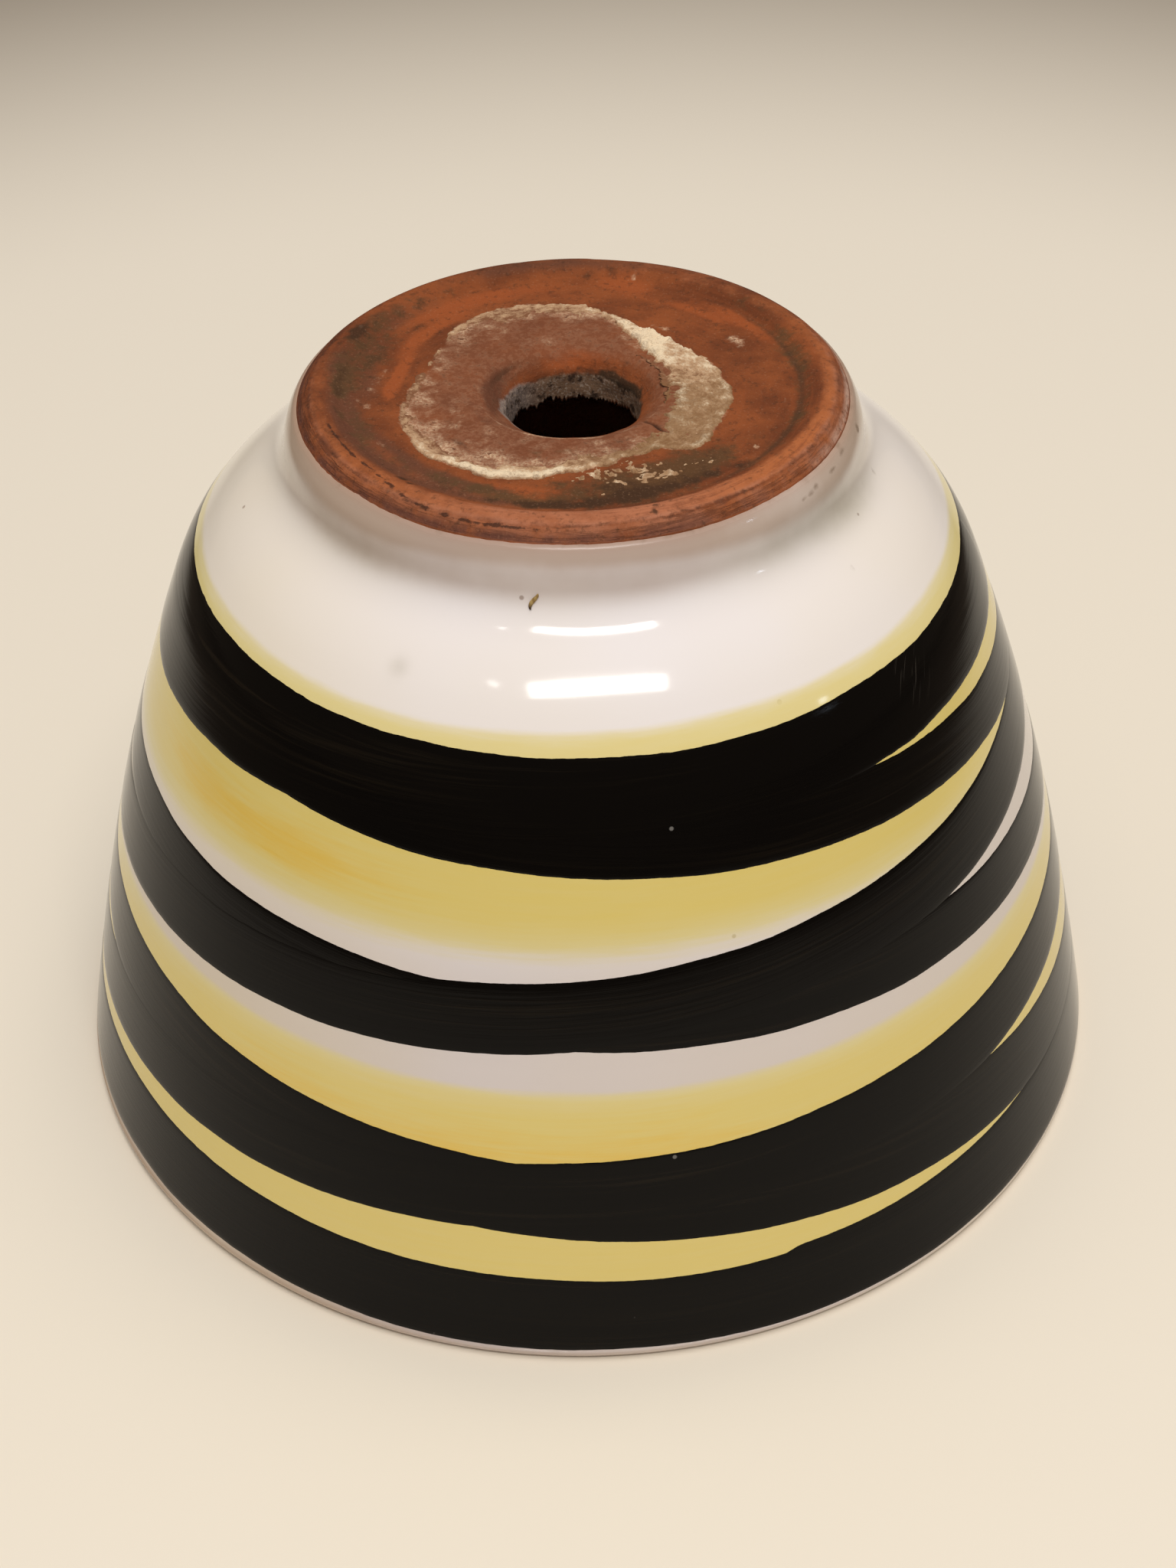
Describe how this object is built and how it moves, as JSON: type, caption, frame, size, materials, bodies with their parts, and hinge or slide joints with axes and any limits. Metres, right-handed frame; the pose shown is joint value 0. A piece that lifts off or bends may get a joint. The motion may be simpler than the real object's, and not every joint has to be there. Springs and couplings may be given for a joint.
{
  "type": "flowerpot",
  "caption": "Bell-shaped glazed earthenware flowerpot standing on its rim: crossing spiral bands on the wall, a low foot ring and a central drain hole.",
  "frame": {"origin": "centre of the rim, in the plane that the rim stands on, which is the bottom of the bounding box", "axes": "+Z runs along the pot's axis from the rim, on which it stands here, up to the foot ring; +X and +Y lie in the rim plane, with -Y towards the side that the picture shows. A half turn about X stands the pot upright."},
  "size_m": [0.165, 0.165, 0.1144],
  "materials": {
    "clay": "fired red earthenware, unglazed, stained by soil and water",
    "white_glaze": "glossy",
    "yellow_glaze": "glossy",
    "black_glaze": "glossy, brushed on",
    "lime": "dull, rough mineral deposit"
  },
  "bodies": {
    "root": {"clay_body": "clay", "white_glaze": "white_glaze", "lower_yellow_wash": "yellow_glaze", "upper_yellow_wash": "yellow_glaze", "black_brushwork": "black_glaze", "lime_crust": "lime"}
  },
  "joints": []
}
